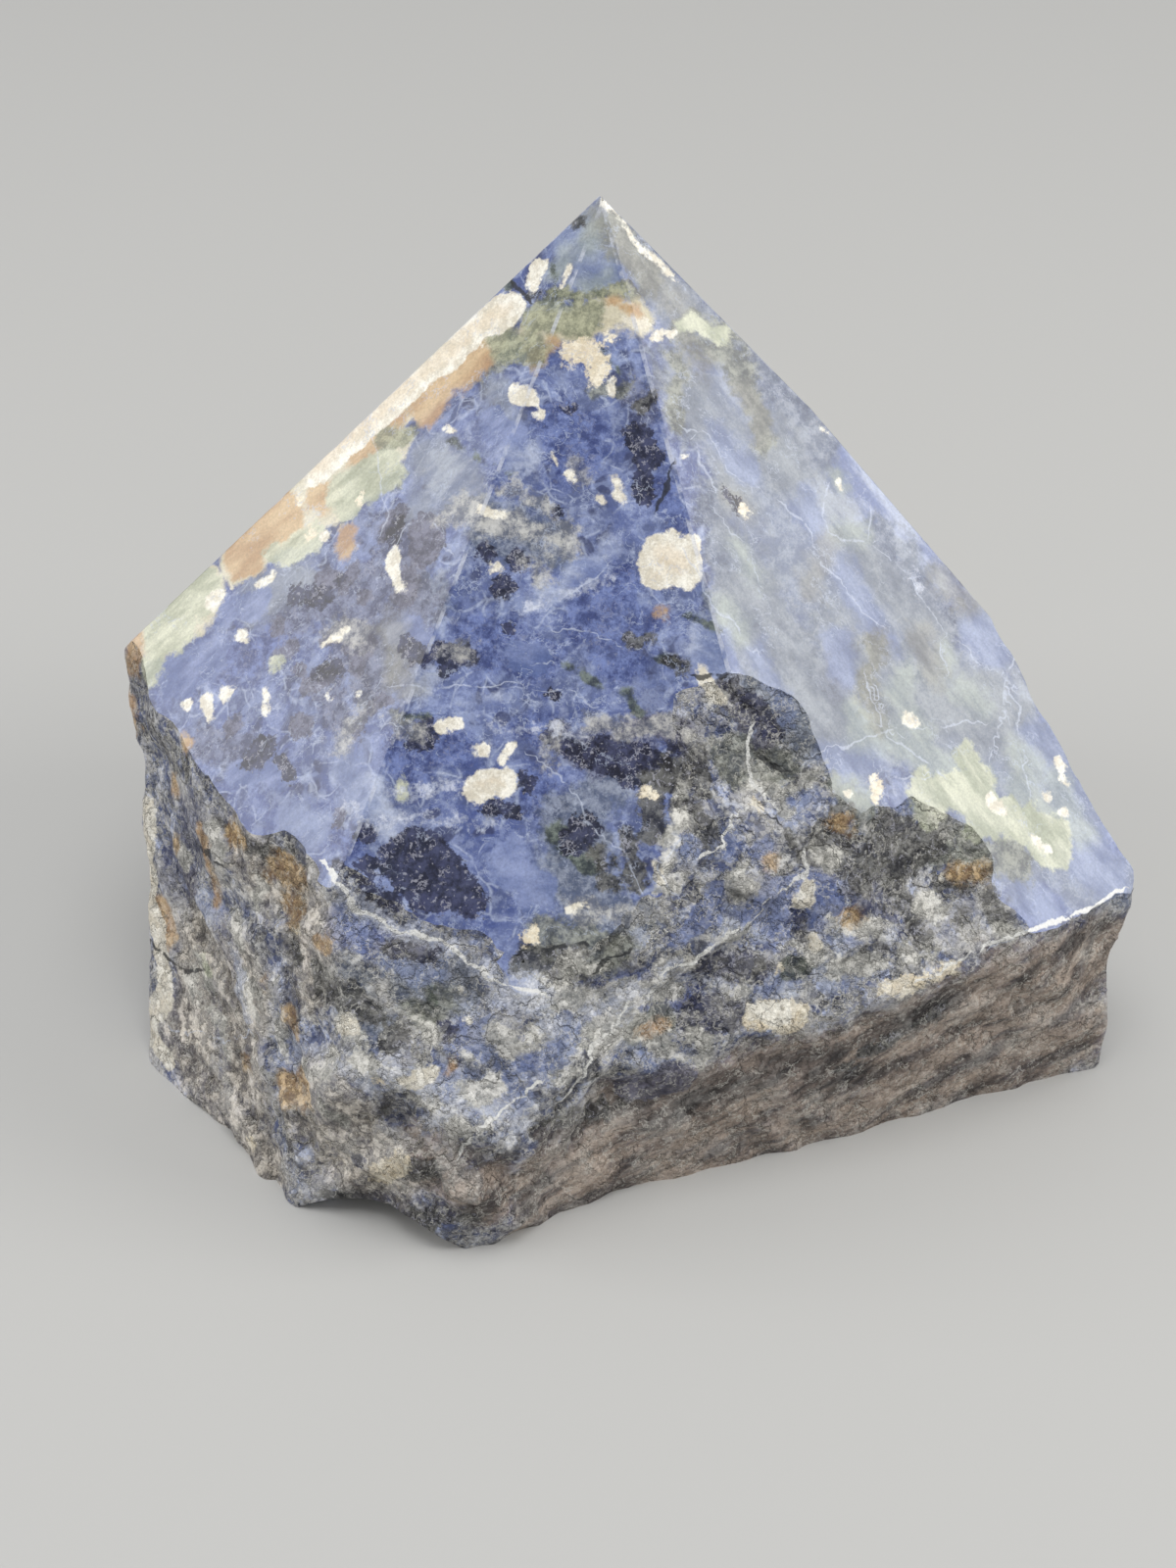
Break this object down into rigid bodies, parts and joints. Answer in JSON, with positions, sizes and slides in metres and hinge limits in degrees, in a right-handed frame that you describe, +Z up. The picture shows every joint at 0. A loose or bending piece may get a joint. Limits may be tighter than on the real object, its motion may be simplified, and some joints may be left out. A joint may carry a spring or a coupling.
{
  "type": "sodalite point",
  "caption": "Lump of natural blue sodalite, sawn flat underneath and ground to a pointed tip of flat polished facets above rough broken sides. Stands on its base as an ornament.",
  "frame": {"origin": "on the flat sawn base, near its middle", "axes": "+Z up from the base to the tip, -Y towards the broad front facet, +X along the longest side"},
  "size_m": [0.089, 0.0809, 0.0747],
  "materials": {
    "sodalite": "polished facets at the tip, rough broken stone on the sides"
  },
  "bodies": {
    "root": {"sodalite_point": "sodalite"}
  },
  "joints": []
}
